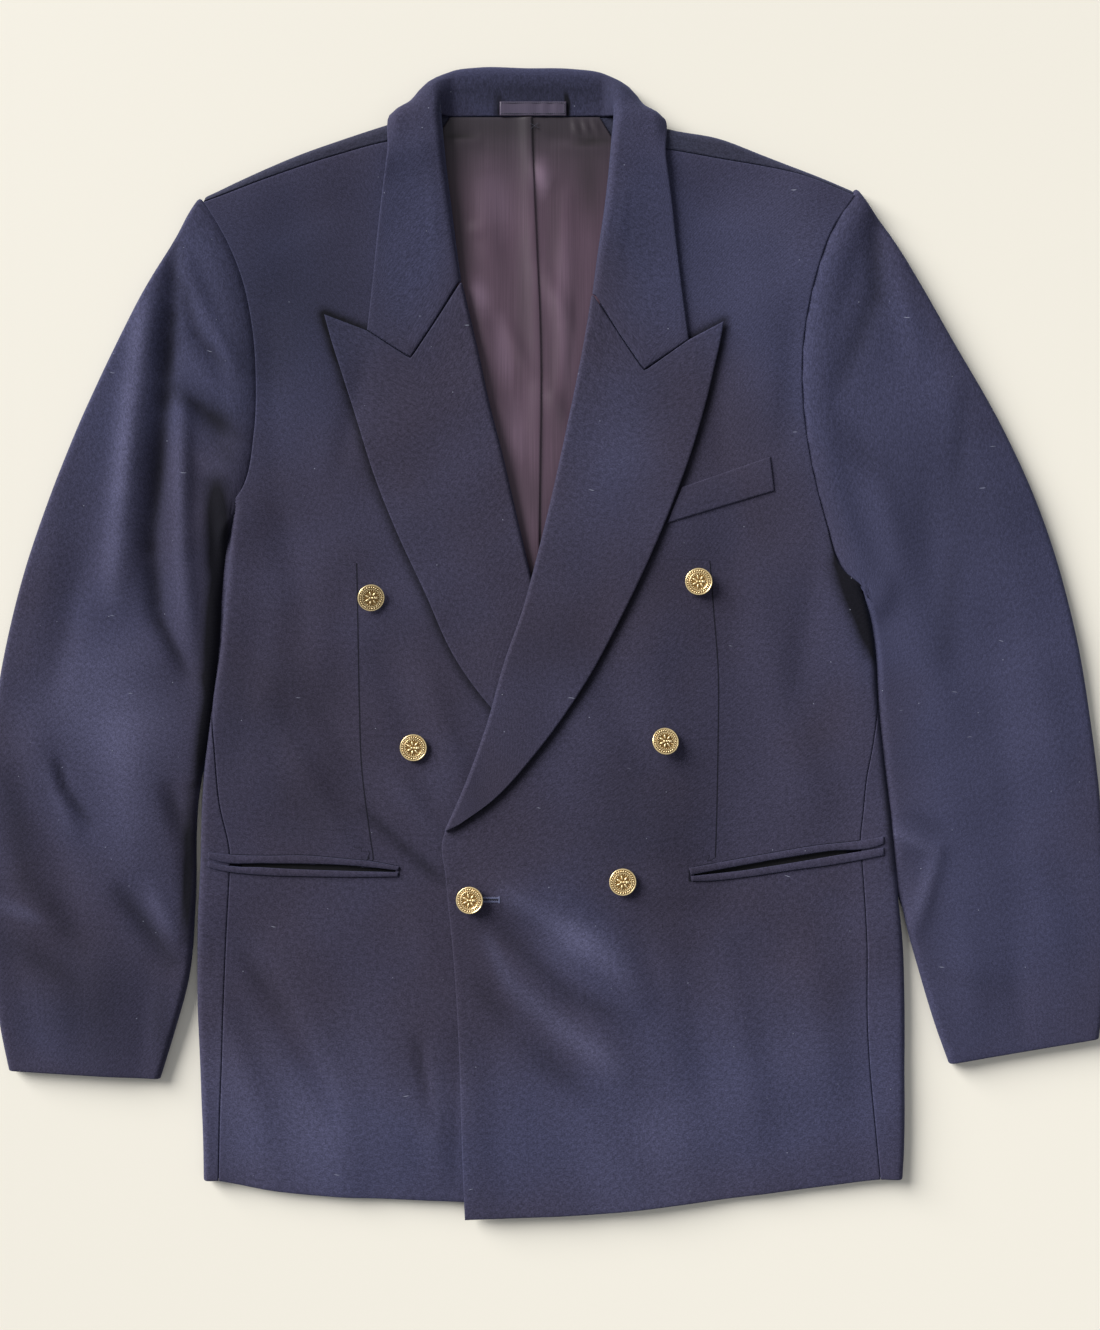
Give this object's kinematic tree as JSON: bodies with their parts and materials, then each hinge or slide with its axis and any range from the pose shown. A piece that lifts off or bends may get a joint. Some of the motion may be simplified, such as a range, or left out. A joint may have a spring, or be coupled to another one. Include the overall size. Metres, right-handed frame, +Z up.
{
  "type": "double-breasted suit jacket",
  "caption": "Navy wool double-breasted jacket laid flat on its back, with peaked lapels, jetted pockets, a chest welt, a satin back lining and gold shank buttons.",
  "frame": {"origin": "middle of the outline, on the floor under the back", "axes": "+Y from hem to collar, +Z up from the floor through the fronts, +X towards the wearer's left sleeve"},
  "size_m": [0.808, 0.8304, 0.0184],
  "materials": {
    "wool": "soft worsted wool",
    "satin": "satin lining",
    "pocketing": "matt cotton",
    "gold": "polished, dark in the recesses"
  },
  "bodies": {
    "root": {"back_left": "wool", "back_right": "wool", "side_left": "wool", "side_right": "wool", "front_left": "wool", "front_right": "wool", "lapel_left": "wool", "lapel_right": "wool", "collar": "wool", "topsleeve_left": "wool", "topsleeve_right": "wool", "undersleeve_left": "wool", "undersleeve_right": "wool", "welt": "wool", "jet_left_upper": "wool", "jet_left_lower": "wool", "jet_right_upper": "wool", "jet_right_lower": "wool", "lining_left": "satin", "lining_right": "satin", "hanger": "satin", "bag_left": "pocketing", "bag_right": "pocketing", "button_1": "gold", "button_2": "gold", "button_3": "gold", "button_4": "gold", "button_5": "gold", "button_6": "gold"}
  },
  "joints": []
}
